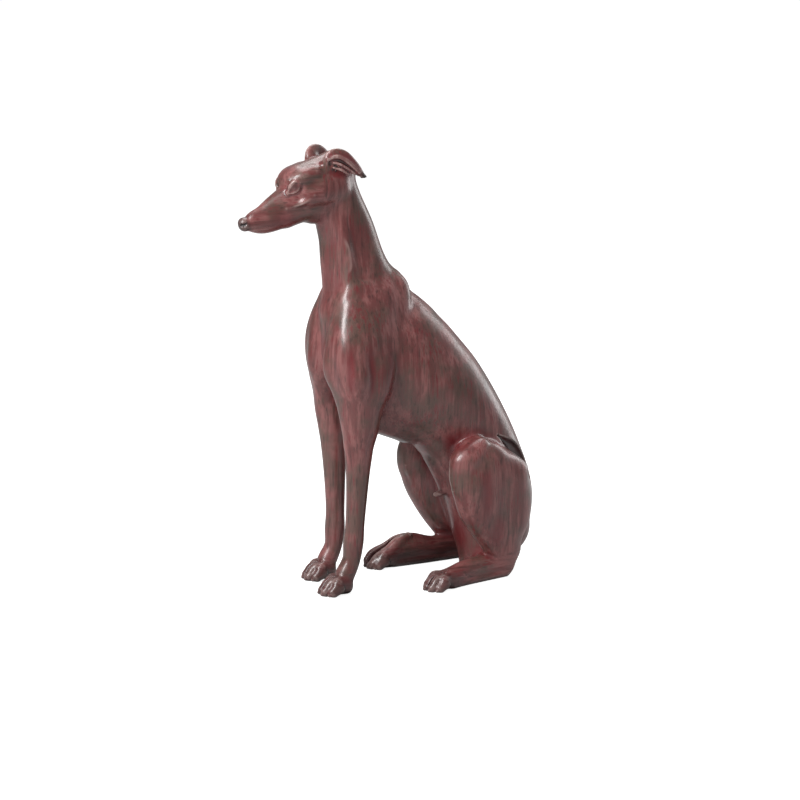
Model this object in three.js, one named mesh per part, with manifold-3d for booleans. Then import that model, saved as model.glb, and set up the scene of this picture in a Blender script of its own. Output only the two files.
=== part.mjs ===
// Seated greyhound figurine, cast in one piece: it sits upright on its rump and hind feet
// with straight forelegs, head turned a little to its left, ears folded back.
// Millimetres, +Z up. The dog faces -Y and its left side is +X.
// The form is a set of rounded masses, each an ellipse carried along a curve, that run
// smoothly into each other. The skin is the surface where their common distance is zero.
import * as THREE from 'three';
import { mergeVertices } from 'three/addons/utils/BufferGeometryUtils.js';
import { SimplifyModifier } from 'three/addons/modifiers/SimplifyModifier.js';
import Module from 'manifold-3d';

// Driving dimensions of the figure, in millimetres and degrees.
const figureHeight = 384;
const foreStance = 48;
const hindStance = 96;
const chestWidth = 80;
const neckWidth = 36;
const skullWidth = 38;
const earSpread = 41;
const earThickness = 6.4;
const pawWidth = 25;
const forePawLead = 5;
const hindPawAhead = 86;
const hindPawLead = 16;
const headPitch = 22;
const headTurn = 5;
const hindFootTurn = 13;

// The skin: lattice step, how much is cut off flat under the feet, and its facet count.
const latticeStep = 3;
const soleDepth = 1.2;
const facetCount = 8200;

// The masses below are drawn for a figure 384 mm tall and are scaled to figureHeight.
const drawnHeight = 384;
const unit = figureHeight / drawnHeight;
const farValue = 30;
const curveStep = 4;
const masses = [];

// Walks a smooth curve through stations [x, y, z, half side, half depth].
function walk(stations) {
  const centres = stations.map((s) => new THREE.Vector3(s[0], s[1], s[2]));
  const sizes = stations.map((s) => new THREE.Vector3(s[3], s[4], 0));
  if (stations.length === 1) {
    return [stations[0], [...stations[0].slice(0, 2), stations[0][2] + 0.01, ...stations[0].slice(3)]];
  }
  const path = new THREE.CatmullRomCurve3(centres, false, 'catmullrom', 0.5);
  const profile = new THREE.CatmullRomCurve3(sizes, false, 'catmullrom', 0.5);
  const steps = Math.max(2, Math.ceil(path.getLength() / curveStep));
  const samples = [];
  for (let i = 0; i <= steps; i++) {
    const centre = path.getPoint(i / steps);
    const size = profile.getPoint(i / steps);
    samples.push([centre.x, centre.y, centre.z, size.x, size.y]);
  }
  return samples;
}

// Gives every sample of a walked curve its own frame: along, side and through.
function framesOf(samples, across) {
  const centres = samples.map((s) => new THREE.Vector3(s[0], s[1], s[2]));
  return samples.map((sample, i) => {
    const ahead = centres[Math.min(i + 1, samples.length - 1)];
    const behind = centres[Math.max(i - 1, 0)];
    const along = ahead.clone().sub(behind).normalize();
    const side = across.clone().addScaledVector(along, -across.dot(along)).normalize();
    const through = along.clone().cross(side);
    return { centre: centres[i], along, side, through, a: sample[3], b: sample[4] };
  });
}

// Adds one mass. A blend is the distance over which it runs into the masses before it.
function addMass(stations, blend, { across = [1, 0, 0], cut = false } = {}) {
  const samples = walk(stations);
  const box = new THREE.Box3();
  for (const [x, y, z, a, b] of samples) {
    const reach = Math.max(a, b);
    box.expandByPoint(new THREE.Vector3(x - reach, y - reach, z - reach));
    box.expandByPoint(new THREE.Vector3(x + reach, y + reach, z + reach));
  }
  const frames = framesOf(samples, new THREE.Vector3(...across).normalize());
  masses.push({ frames, box, blend, cut });
}

// Adds a mass and its mirror image on the other side of the body.
function addPair(stations, blend, options = {}) {
  const mirrored = stations.map(([x, ...rest]) => [-x, ...rest]);
  addMass(stations, blend, options);
  addMass(mirrored, blend, options);
}

// Coordinate of a point along one axis of a frame.
function measure(frame, axis, x, y, z) {
  const { centre } = frame;
  return (x - centre.x) * axis.x + (y - centre.y) * axis.y + (z - centre.z) * axis.z;
}

// Distance from a point to the stretch between two frames: the ellipse is measured in the
// frame that turns and grows evenly between them, and beyond both ends it is an ellipsoid.
function stretchDistance(p, q, x, y, z) {
  const before = measure(p, p.along, x, y, z);
  const after = measure(q, q.along, x, y, z);
  const share = Math.min(1, Math.max(0, before / Math.max(before - after, 1e-6)));
  const mix = (from, to) => from + (to - from) * share;
  const a = mix(p.a, q.a);
  const b = mix(p.b, q.b);
  const c = Math.min(a, b);
  const u = mix(measure(p, p.side, x, y, z), measure(q, q.side, x, y, z));
  const v = mix(measure(p, p.through, x, y, z), measure(q, q.through, x, y, z));
  let w = 0;
  if (share <= 0) w = Math.min(before, 0);
  if (share >= 1) w = Math.max(after, 0);
  const near = Math.hypot(u / a, v / b, w / c);
  const slope = Math.hypot(u / (a * a), v / (b * b), w / (c * c)) + 1e-9;
  return near * (near - 1) / slope;
}

function massDistance({ frames }, x, y, z) {
  let best = Infinity;
  for (let i = 1; i < frames.length; i++) {
    best = Math.min(best, stretchDistance(frames[i - 1], frames[i], x, y, z));
  }
  return best;
}

// Smooth minimum of two distances: equal to the lesser one, less a rounded fillet.
function blendOf(a, b, width) {
  const h = Math.max(width - Math.abs(a - b), 0) / width;
  return Math.min(a, b) - h * h * width / 4;
}

function reaches(mass, x, y, z, margin) {
  const { min, max } = mass.box;
  return x > min.x - margin && x < max.x + margin && y > min.y - margin
    && y < max.y + margin && z > min.z - margin && z < max.z + margin;
}

function joinTo(value, mass, x, y, z) {
  const distance = massDistance(mass, x, y, z);
  return mass.cut ? -blendOf(-value, distance, mass.blend) : blendOf(value, distance, mass.blend);
}

function bodyDistance(x, y, z) {
  let value = farValue;
  for (const mass of masses) {
    if (reaches(mass, x, y, z, mass.blend + latticeStep)) value = joinTo(value, mass, x, y, z);
  }
  return value;
}

// Trunk, neck, throat, withers and breast, down the middle of the body.
function buildTrunk() {
  const w = chestWidth / 80;
  const n = neckWidth / 36;
  addMass([[0, 34, 222, 27 * w, 38], [0, 52, 208, 36 * w, 51.5], [0, 79, 183, 40 * w, 53],
    [0, 105, 161, 39 * w, 47], [0, 130, 131, 34 * w, 41], [0, 149, 97, 31 * w, 38.5],
    [0, 160.5, 66, 31 * w, 37], [0, 162, 37, 31 * w, 33]], 8);
  addMass([[0, 9, 354, 15 * n, 19], [0, 13.3, 334, 16.5 * n, 21], [0, 21.3, 308, 17.5 * n, 24.7],
    [0, 27.5, 280, 21.5 * n, 28.6], [0, 36.5, 250, 25 * n, 34.6]], 10);
  addMass([[0, 3.6, 326, 8 * n, 8.5], [0, 11, 312, 10 * n, 10]], 9);
  addMass([[0, 59, 264.5, 9, 8], [0, 72.5, 249.5, 9, 8], [0, 88, 231, 9, 9]], 10);
  addMass([[0, 15, 240, 17, 17], [0, 17, 212, 13, 15], [0, 20, 186, 10, 13],
    [0, 28, 160, 10, 13], [0, 44, 147, 15, 12], [0, 74, 131.5, 16, 9.5]], 9);
}

// Shoulder blade and its top, front of the shoulder, breast muscle, back of the upper arm,
// and the long muscle on its side.
function buildShoulders() {
  const out = chestWidth / 80;
  const swell = foreStance / 48;
  addPair([[12, 60, 256, 7, 11], [19 * out, 49, 247, 9, 17], [25 * out, 37.5, 235, 11, 20],
    [29 * out, 30, 218, 12, 19], [30 * out, 26, 198, 9, 15], [29 * swell, 25, 178, 4, 9]], 14);
  addPair([[9, 60, 266, 6, 7], [13, 64, 260, 6.5, 7.5], [18, 61.5, 249, 6, 9], [21, 57, 236, 4, 7],
    [18, 52, 224, 2, 4]], 6);
  addPair([[20 * out, 30, 258, 4, 7], [25.5 * out, 22.5, 242, 9, 14.5], [30 * out, 16.6, 222, 13, 18],
    [32 * out, 14.8, 204, 14, 17.5], [32 * out, 17.2, 184, 13, 16.5], [30.5 * swell, 21, 166, 11, 13.5],
    [28.5 * swell, 21.5, 150, 9, 11], [27 * swell, 21, 136, 6, 8]], 9);
  addPair([[20 * out, 22, 262, 3, 5], [20.5 * out, 15, 248, 6.5, 9], [20 * out, 10.5, 232, 10, 12],
    [17.5 * out, 8.3, 214, 11, 13.5], [17 * out, 6, 196, 11, 13], [20 * swell, 10.9, 179, 10, 12],
    [24 * swell, 14.5, 161, 8.5, 11], [25 * swell, 17.5, 146, 6.5, 9], [24 * swell, 20, 134, 3, 6]], 9);
  addPair([[28 * out, 36, 220, 5, 7], [34.5 * out, 34.5, 199, 10, 13.5], [34 * out, 32, 178, 11.5, 13],
    [31 * swell, 29.5, 160, 9, 10], [29 * swell, 26, 144, 8, 8.5]], 7);
  addPair([[37.5 * out, 14.5, 227, 2, 2.5], [42.8 * out, 14.2, 210, 3, 4.8], [44 * out, 14.3, 193, 4.4, 7.8],
    [42.5 * out, 15.3, 180, 3.6, 6.4], [37.5 * out, 17, 168, 2, 3]], 3.5);
}

// One foreleg: side is +1 for the dog's left, lead is how far its paw stands forward.
function buildForeleg(side, lead) {
  const x = side * foreStance / 2;
  const wide = side * foreStance / 48;
  addMass([[x + wide * 7, 19, 178, 10, 13], [x + wide * 5, 20.5, 152, 11.5, 14.5],
    [x + wide * 2.5, 20.5, 130, 10.5, 13], [x + wide, 20, 105, 9.5, 10.3],
    [x, 20 - lead / 5, 80, 8.6, 8.8], [x, 20 - lead / 2, 60, 8.3, 8.2],
    [x, 19.5 - lead * 0.7, 45, 8.6, 8.8], [x, 18 - lead * 0.8, 30, 7.8, 7.8],
    [x, 12.5 - lead * 0.9, 17, 8.5, 8.5]], 8);
  buildPaw(x, 6.5 - lead, 0);
}

// One paw: four toes and a pad, its front turned outward by an angle in degrees.
function buildPaw(x, y, turn) {
  const angle = THREE.MathUtils.degToRad(turn);
  const cos = Math.cos(angle);
  const sin = Math.sin(angle);
  const w = pawWidth / 25;
  const place = ([across, ahead, z, a, b]) => [x + across * w * cos + ahead * sin,
    y + across * w * sin - ahead * cos, z, a * w, b];
  const options = { across: [cos, sin, 0] };
  for (const [offset, tip, r] of [[-8.2, 8, 4.2], [-3, 12.5, 4.6], [3, 12.5, 4.6], [8.2, 8, 4.2]]) {
    addMass([[offset * 0.6, -7, 11, r, 5.5], [offset * 0.85, 1, 11.5, r, 6],
      [offset, tip - 5, 9, r, 6.2], [offset * 1.02, tip, 5, r * 0.92, 4.6]].map(place), 2.2, options);
  }
  addMass([[0, -9, 7, 8, 7], [0, 2, 6.5, 8.5, 6]].map(place), 3, options);
}

// The left hind leg, folded: thigh, buttock, shank and the foot flat on the ground, toes out.
function buildLeftHindleg() {
  const x = hindStance / 2;
  addMass([[20, 158, 68, 20, 33.5], [x - 16, 146, 78, 20, 38], [x - 10, 134, 95, 18, 31.5],
    [x - 6.5, 127, 107, 15, 24], [x - 5, 120, 115, 12, 18]], 10);
  addMass([[30, 160, 92, 12, 14], [x - 14, 161, 72, 15, 18], [x - 12, 159, 50, 14, 18],
    [x - 12, 157, 29, 10, 12]], 12);
  addMass([[x - 3, 110, 110, 9, 11], [x - 2, 110.5, 100, 10, 12.2], [x - 0.5, 116.5, 84, 10.5, 14.8],
    [x - 3, 131, 56, 10, 15], [x - 8, 145, 34, 9, 12], [x - 12, 155, 18, 8.5, 9.5]], 14);
  addMass([[x - 13.5, 153, 4.4, 8.5, 4.5], [x - 5, 112, 4.4, 8.5, 4.5], [x - 1, 96, 4.4, 9, 4.5]], 3);
  addMass([[x - 13, 156.5, 12, 8, 10.5], [x - 10, 134, 12, 8, 11.5], [x - 5.5, 112, 11.5, 8.5, 10],
    [x - 1, hindPawAhead + 10, 10, 9.5, 8]], 4);
  buildPaw(x, hindPawAhead + 2, hindFootTurn);
}

// The right hind leg lies further forward, with its foot straight.
function buildRightHindleg() {
  const x = -hindStance / 2;
  const paw = hindPawAhead - hindPawLead;
  addMass([[-20, 158, 66, 20, 38], [x + 16, 144, 72, 22, 43], [x + 8, 124, 85, 17, 32],
    [x + 4, 114, 96, 13, 20]], 12);
  addMass([[x + 3, 104, 112, 9.5, 10.5], [x + 1, 103.5, 98, 11, 12.5], [x, 110, 78, 11.5, 13.8],
    [x + 4, 120.5, 53, 10, 13], [x + 9, 133.5, 29, 8, 11], [x + 12, 146, 14, 8, 10]], 12);
  addMass([[x + 13, 147, 4.4, 8.5, 4.5], [x + 15, 112, 4.4, 8.5, 4.5], [x + 15, paw + 10, 4.4, 9, 4.5]], 3);
  addMass([[x + 13, 148, 12, 8, 12], [x + 14, 118, 12, 8.5, 11.5], [x + 15, paw + 27, 15, 8.5, 14],
    [x + 15, paw + 14, 15, 9, 13.5], [x + 15, paw + 2, 11, 10, 10]], 4);
  buildPaw(x + 15, paw, 0);
}

// The groin closes the space between the thighs down to the ground, and a hollow lies
// between the croup and the upper edge of each thigh.
function buildLoins() {
  addMass([[0, 100, 118, 20, 10], [0, 114, 102, 23, 13], [0, 124, 82, 22, 13], [0, 130, 60, 20, 12],
    [2, 134, 40, 20, 10], [8, 136, 24, 22, 9], [12, 136, 10, 22, 8]], 9);
  addMass([[3, 101, 105, 6, 6], [3, 108, 91, 6, 6], [3, 112, 79, 5, 5]], 7);
  addPair([[35, 152, 125, 8, 1], [32, 160, 119, 11, 3.5], [30, 169, 112, 13, 6.5], [27, 178, 102, 14, 9],
    [25, 187, 88, 14, 8], [23, 195, 74, 10, 3]], 2, { cut: true });
}

// The tail leaves the rump low down and lies on the ground beside the right haunch.
function buildTail() {
  addMass([[0, 177, 36, 10, 10], [-8, 178, 18, 8, 8], [-24, 180, 8.5, 6.5, 6.5],
    [-40, 174, 6, 5.5, 5.5], [-53, 162, 5, 4.6, 4.6], [-60, 150, 4.2, 3.8, 3.8]], 6);
}

// The head is drawn in its own frame: side, ahead along the muzzle, and up from the skull's
// middle. It is then pitched down and turned to the dog's left.
const headCentre = new THREE.Vector3(0, 0, 350);
const headRotation = new THREE.Matrix4().makeRotationZ(THREE.MathUtils.degToRad(headTurn))
  .multiply(new THREE.Matrix4().makeRotationX(THREE.MathUtils.degToRad(headPitch)));

function addHeadMass(stations, blend, options = {}) {
  const placed = stations.map(([side, ahead, up, a, b]) => {
    const p = new THREE.Vector3(side, -ahead, up).applyMatrix4(headRotation).add(headCentre);
    return [p.x, p.y, p.z, a, b];
  });
  const across = new THREE.Vector3(1, 0, 0).applyMatrix4(headRotation).toArray();
  addMass(placed, blend, { across, ...options });
}

function addHeadPair(stations, blend, options = {}) {
  addHeadMass(stations, blend, options);
  addHeadMass(stations.map(([side, ...rest]) => [-side, ...rest]), blend, options);
}

// Skull, jaw, gullet, muzzle and nose, then brows, cheeks and eyes in pairs.
function buildHead() {
  const w = skullWidth / 38;
  addHeadMass([[0, -14, 5, 16 * w, 17], [0, 2, 5, 19 * w, 18], [0, 18, 7, 17 * w, 17.5]], 5);
  addHeadMass([[0, 4, -10, 15 * w, 14], [0, 24, -8, 13.5 * w, 14.5], [0, 40, -6, 11, 14.5]], 6);
  addHeadMass([[0, 12, -15, 10, 10], [0, 19, -19.5, 8, 8]], 5);
  addHeadMass([[0, 30, -1.5, 12, 15.5], [0, 46, -3.8, 9.8, 15], [0, 60, -4.2, 8.2, 12.2],
    [0, 71, -2.6, 6.8, 8.6], [0, 77, -1, 5.2, 4.8]], 4);
  addHeadMass([[0, 78, 1.6, 4.6, 3.8]], 2);
  addHeadPair([[8 * w, 28.5, 18, 5.5, 4.5], [13.5 * w, 20, 18, 5, 4.5]], 5);
  addHeadPair([[14 * w, 22, -1, 4, 6], [16.5 * w, 6, -2, 5, 9], [14 * w, -8, -4, 6, 9]], 7);
  addHeadPair([[16 * w, 30.5, 11.5, 3, 4.5]], 4, { cut: true });
  addHeadPair([[11.5 * w, 28.5, 11.8, 4.2, 4.2]], 1);
}

// The ears rise from the back of the skull and fold down behind it, hollow on the outside.
function buildEars() {
  const x = earSpread / 2;
  const t = earThickness / 2;
  addHeadPair([[x - 7.5, -3, 14, t + 1.8, 7], [x - 3, -9, 20, t + 0.4, 8], [x, -15, 18, t + 0.2, 8],
    [x + 1, -20, 10, t, 7], [x + 0.5, -24.5, 1, t, 5], [x, -28, -5.5, t - 0.6, 3]], 3);
  addHeadPair([[x + 1, -6, 16, 2.4, 3], [x + 4.1, -12, 19, 2.8, 4.5], [x + 5.3, -17, 13, 2.6, 4.5],
    [x + 4.5, -21, 5, 2, 3]], 2.5, { cut: true });
}

// The skin is drawn on a lattice. Each lattice cube is split into six tetrahedra, and the
// surface crosses an edge of a tetrahedron where the distance changes sign.
const cubeTetrahedra = [[0, 1, 3, 7], [0, 3, 2, 7], [0, 2, 6, 7], [0, 6, 4, 7], [0, 4, 5, 7], [0, 5, 1, 7]];

function latticeBox() {
  const box = new THREE.Box3();
  for (const mass of masses) {
    if (!mass.cut) box.union(mass.box);
  }
  return box.expandByScalar(latticeStep * 2.3);
}

function sampleLattice(box) {
  const size = box.getSize(new THREE.Vector3()).divideScalar(latticeStep);
  const counts = [size.x, size.y, size.z].map((length) => Math.ceil(length) + 1);
  const values = new Float64Array(counts[0] * counts[1] * counts[2]).fill(farValue);
  const index = (i, j, k) => (i * counts[1] + j) * counts[2] + k;
  for (const mass of masses) {
    const margin = mass.blend + latticeStep;
    const from = mass.box.min.toArray().map((v, n) => (v - margin - box.min.toArray()[n]) / latticeStep);
    const to = mass.box.max.toArray().map((v, n) => (v + margin - box.min.toArray()[n]) / latticeStep);
    const low = from.map((v) => Math.max(0, Math.floor(v)));
    const high = to.map((v, n) => Math.min(counts[n] - 1, Math.ceil(v)));
    for (let i = low[0]; i <= high[0]; i++) {
      for (let j = low[1]; j <= high[1]; j++) {
        for (let k = low[2]; k <= high[2]; k++) {
          const x = box.min.x + i * latticeStep;
          const y = box.min.y + j * latticeStep;
          const z = box.min.z + k * latticeStep;
          if (!reaches(mass, x, y, z, margin)) continue;
          values[index(i, j, k)] = joinTo(values[index(i, j, k)], mass, x, y, z);
        }
      }
    }
  }
  return { counts, values, index };
}

// Collects the triangles that one tetrahedron gives, turned so that they face outward.
function cutTetrahedron(corners, values, points, crossing, triangles) {
  const inside = corners.filter((c) => values[c] < 0);
  const outside = corners.filter((c) => values[c] >= 0);
  if (inside.length === 0 || outside.length === 0) return;
  let ring;
  if (inside.length === 2) {
    ring = [crossing(inside[0], outside[0]), crossing(inside[0], outside[1]),
      crossing(inside[1], outside[1]), crossing(inside[1], outside[0])];
  } else if (inside.length === 1) {
    ring = outside.map((o) => crossing(inside[0], o));
  } else {
    ring = inside.map((c) => crossing(c, outside[0]));
  }
  const [a, b, c] = ring.map((n) => points.vertex(n));
  const normal = b.sub(a).cross(c.sub(a));
  const outward = points.corner(outside[0]).sub(points.corner(inside[0]));
  if (normal.dot(outward) < 0) ring.reverse();
  triangles.push(ring[0], ring[1], ring[2]);
  if (ring.length === 4) triangles.push(ring[0], ring[2], ring[3]);
}

function drawSkin() {
  const box = latticeBox();
  const { counts, values, index } = sampleLattice(box);
  const positions = [];
  const triangles = [];
  const known = new Map();
  const corner = (n) => new THREE.Vector3(Math.floor(n / (counts[1] * counts[2])),
    Math.floor(n / counts[2]) % counts[1], n % counts[2]).multiplyScalar(latticeStep).add(box.min);
  const points = { corner, vertex: (n) => new THREE.Vector3().fromArray(positions, n * 3) };
  const crossing = (a, b) => {
    const key = Math.min(a, b) * values.length + Math.max(a, b);
    if (!known.has(key)) {
      const share = Math.min(0.96, Math.max(0.04, values[a] / (values[a] - values[b])));
      known.set(key, positions.length / 3);
      positions.push(...corner(a).lerp(corner(b), share).toArray());
    }
    return known.get(key);
  };
  for (let i = 0; i < counts[0] - 1; i++) {
    for (let j = 0; j < counts[1] - 1; j++) {
      for (let k = 0; k < counts[2] - 1; k++) {
        const cube = [0, 1, 2, 3, 4, 5, 6, 7].map((n) => index(i + (n & 1), j + (n >> 1 & 1), k + (n >> 2)));
        const negative = cube.filter((n) => values[n] < 0).length;
        if (negative === 0 || negative === 8) continue;
        for (const tetrahedron of cubeTetrahedra) {
          cutTetrahedron(tetrahedron.map((n) => cube[n]), values, points, crossing, triangles);
        }
      }
    }
  }
  return { positions, triangles };
}

// Moves each point along the slope of the distance until it lies on the surface.
function settle(positions) {
  const h = 0.2;
  for (let n = 0; n < positions.count; n++) {
    for (let round = 0; round < 3; round++) {
      const [x, y, z] = [positions.getX(n), positions.getY(n), positions.getZ(n)];
      const slope = new THREE.Vector3(bodyDistance(x + h, y, z) - bodyDistance(x - h, y, z),
        bodyDistance(x, y + h, z) - bodyDistance(x, y - h, z),
        bodyDistance(x, y, z + h) - bodyDistance(x, y, z - h)).normalize();
      const step = THREE.MathUtils.clamp(bodyDistance(x, y, z), -latticeStep / 4, latticeStep / 4);
      positions.setXYZ(n, x - slope.x * step, y - slope.y * step, z - slope.z * step);
    }
  }
}

// Thins the skin to its facet count, keeping its shape.
async function thin({ positions, triangles }) {
  const geometry = new THREE.BufferGeometry();
  geometry.setAttribute('position', new THREE.Float32BufferAttribute(positions, 3));
  geometry.setIndex(triangles);
  const spare = positions.length / 3 - facetCount / 2;
  return new SimplifyModifier().modify(geometry, Math.max(0, spare));
}

// Cuts the figure off flat where it touches the ground and centres it over the origin.
async function standOnGround(geometry) {
  const wasm = await Module();
  wasm.setup();
  const solidOf = (source) => new wasm.Manifold(new wasm.Mesh({
    numProp: 3,
    vertProperties: Float32Array.from(source.getAttribute('position').array),
    triVerts: Uint32Array.from(source.getIndex().array),
  }));
  const groundDepth = 40;
  const groundSize = figureHeight * 2;
  const slab = new THREE.BoxGeometry(groundSize, groundSize, groundDepth);
  slab.deleteAttribute('normal');
  slab.deleteAttribute('uv');
  slab.translate(0, 0, soleDepth - groundDepth / 2);
  const cut = solidOf(geometry).subtract(solidOf(mergeVertices(slab))).getMesh();
  const standing = new THREE.BufferGeometry();
  standing.setAttribute('position', new THREE.Float32BufferAttribute(cut.vertProperties, 3));
  standing.setIndex([...cut.triVerts]);
  standing.scale(unit, unit, unit);
  standing.computeBoundingBox();
  const middle = standing.boundingBox.getCenter(new THREE.Vector3());
  standing.translate(-middle.x, -middle.y, -standing.boundingBox.min.z);
  return standing;
}

// The whole figure is one cast piece in lacquered oxblood resin.
async function makeFigure() {
  buildTrunk();
  buildShoulders();
  buildForeleg(1, forePawLead);
  buildForeleg(-1, 0);
  buildLeftHindleg();
  buildRightHindleg();
  buildLoins();
  buildTail();
  buildHead();
  buildEars();
  const skin = await thin(drawSkin());
  settle(skin.getAttribute('position'));
  const geometry = await standOnGround(skin);
  geometry.computeVertexNormals();
  const lacquer = new THREE.MeshStandardMaterial({ color: 0x6e4844, roughness: 0.38, metalness: 0 });
  const figure = new THREE.Mesh(geometry, lacquer);
  figure.name = 'greyhound';
  return figure;
}

const group = new THREE.Group();
group.add(await makeFigure());

export default group;
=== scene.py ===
# Seated greyhound figurine: the cast body with its fine modelling, and its streaked lacquer.
# The body is drawn in millimetres, from rounded masses carried along paths and blended into one skin.
# The dog faces -Y. The camera sees its left side, which is +X, and that side is called near here.
from concurrent.futures import ThreadPoolExecutor

import bpy
import numpy as np
from mathutils import Matrix, Vector


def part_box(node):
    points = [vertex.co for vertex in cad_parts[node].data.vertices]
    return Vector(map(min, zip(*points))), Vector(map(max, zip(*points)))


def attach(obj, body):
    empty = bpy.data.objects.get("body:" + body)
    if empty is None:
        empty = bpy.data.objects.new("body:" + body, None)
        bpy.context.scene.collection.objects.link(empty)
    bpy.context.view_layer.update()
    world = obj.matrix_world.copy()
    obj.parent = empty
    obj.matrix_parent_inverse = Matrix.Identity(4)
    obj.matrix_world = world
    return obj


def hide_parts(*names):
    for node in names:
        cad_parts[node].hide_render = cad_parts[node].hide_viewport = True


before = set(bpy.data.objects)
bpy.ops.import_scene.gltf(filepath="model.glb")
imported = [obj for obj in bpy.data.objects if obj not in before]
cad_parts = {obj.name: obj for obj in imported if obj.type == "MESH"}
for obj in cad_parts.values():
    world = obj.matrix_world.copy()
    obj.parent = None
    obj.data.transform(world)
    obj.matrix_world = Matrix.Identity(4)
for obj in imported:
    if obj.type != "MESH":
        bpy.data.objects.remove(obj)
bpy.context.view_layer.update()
cadLow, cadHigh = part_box("greyhound")
print("frame loaded")

# Camera, as the photograph sees the figurine: from its left and front, a little above
view = {
    "azimuth": 65.0,
    "elevation": 12.5,
    "distance": 2.0,
    "lens": 104.4,
    "aim": (0.00017, 0.0115, 0.1579),
}


def viewAxes(azimuth, elevation):
    # right, up and towards the camera, for a camera turned about Z and raised
    a, e = np.radians(azimuth), np.radians(elevation)
    back = Vector((np.sin(a) * np.cos(e), -np.cos(a) * np.cos(e), np.sin(e)))
    right = Vector((np.cos(a), np.sin(a), 0))
    return right, back.cross(right), back


def placeLooking(thing, place, right, up, back):
    turn = Matrix((right, up, back)).transposed()
    thing.matrix_world = Matrix.Translation(place) @ turn.to_4x4()


def makeCamera():
    data = bpy.data.cameras.new("camera")
    data.lens = view["lens"]
    camera = bpy.data.objects.new("camera", data)
    bpy.context.scene.collection.objects.link(camera)
    right, up, back = viewAxes(view["azimuth"], view["elevation"])
    placeLooking(camera, Vector(view["aim"]) + view["distance"] * back, right, up, back)
    bpy.context.scene.camera = camera


makeCamera()

# The figure. Lengths are millimetres in the drawing, angles are degrees.
figure = {
    "cell": 0.9,  # lattice step of the skin
    "coarse": 4,  # cells between the points that are tried first
    "band": 5.5,  # how far from the skin the fine lattice is worked out
    "block": 32.0,  # side of the blocks of space that are worked out together
    "pathStep": 1.6,  # spacing of the sections along a path
    "thinnest": 0.25,  # least half size of a section
    "margin": 4,  # empty space between the masses and the sides of the lattice
    "below": 3.3,  # how far the lattice reaches below the floor
    "far": 30.0,  # distance to the skin where no mass is near
    "settleStep": 0.8,  # farthest that a point moves to reach the skin
    "triangles": 192000,
    "soleLevel": 1.2,  # height of the floor in the drawing
    "soleEdge": 0.8,  # rounding where the skin meets the floor
    "soleSnap": 0.12,  # points that lie this close to the floor are put on it
    "headAt": (0.0, 0.0, 350.0),
    "headPitch": 22.0,  # muzzle down
    "headTurn": 5.0,  # to the dog's left
}


def smoothPath(stations, step):
    # Catmull-Rom through the stations: half of 2b + (c - a)t + (2a - 5b + 4c - d)t^2 + (3b - a - 3c + d)t^3
    s = np.asarray(stations, float)
    if len(s) == 1:
        s = np.vstack([s, s + [0, 0, 1e-3, 0, 0]])
    s = np.vstack([2 * s[0] - s[1], s, 2 * s[-1] - s[-2]])
    # the half sizes level off at both ends, so that no seam shows where a rounded end begins
    s[0, 3:], s[-1, 3:] = s[2, 3:], s[-3, 3:]
    parts = []
    for a, b, c, d in zip(s, s[1:], s[2:], s[3:]):
        count = max(2, int(np.ceil(np.linalg.norm(c[:3] - b[:3]) / step)))
        t = np.arange(count)[:, None] / count
        parts.append(0.5 * (2 * b + (c - a) * t + (2 * a - 5 * b + 4 * c - d) * t**2
                            + (3 * b - a - 3 * c + d) * t**3))
    path = np.vstack(parts + [s[-2][None]])
    path[:, 3:] = np.maximum(path[:, 3:], figure["thinnest"])
    return path


def unit(v):
    return v / np.maximum(np.linalg.norm(v, axis=-1, keepdims=True), 1e-9)


def addMass(masses, blend, stations, cut=False, side=(1, 0, 0), end=1.0):
    # stations are x, y, z and the half sizes of the oval section, to the side and square to it
    path = smoothPath(stations, figure["pathStep"])
    centre, half = path[:, :3], path[:, 3:]
    along = unit(np.gradient(centre, axis=0))
    side = np.asarray(side, float)
    across = unit(side - along * (along @ side)[:, None])
    reach = half.max(axis=1)[:, None] * max(1.0, end)
    masses.append({
        "centre": centre, "half": half, "along": along, "across": across,
        "deep": np.cross(along, across), "end": end, "blend": blend, "cut": cut,
        "low": (centre - reach).min(axis=0), "high": (centre + reach).max(axis=0),
    })


def addPair(masses, blend, stations, side=(1, 0, 0), **more):
    # the same mass on both sides of the body
    addMass(masses, blend, stations, side=side, **more)
    other = [(-s[0],) + tuple(s[1:]) for s in stations]
    addMass(masses, blend, other, side=(side[0], -side[1], -side[2]), **more)


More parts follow.
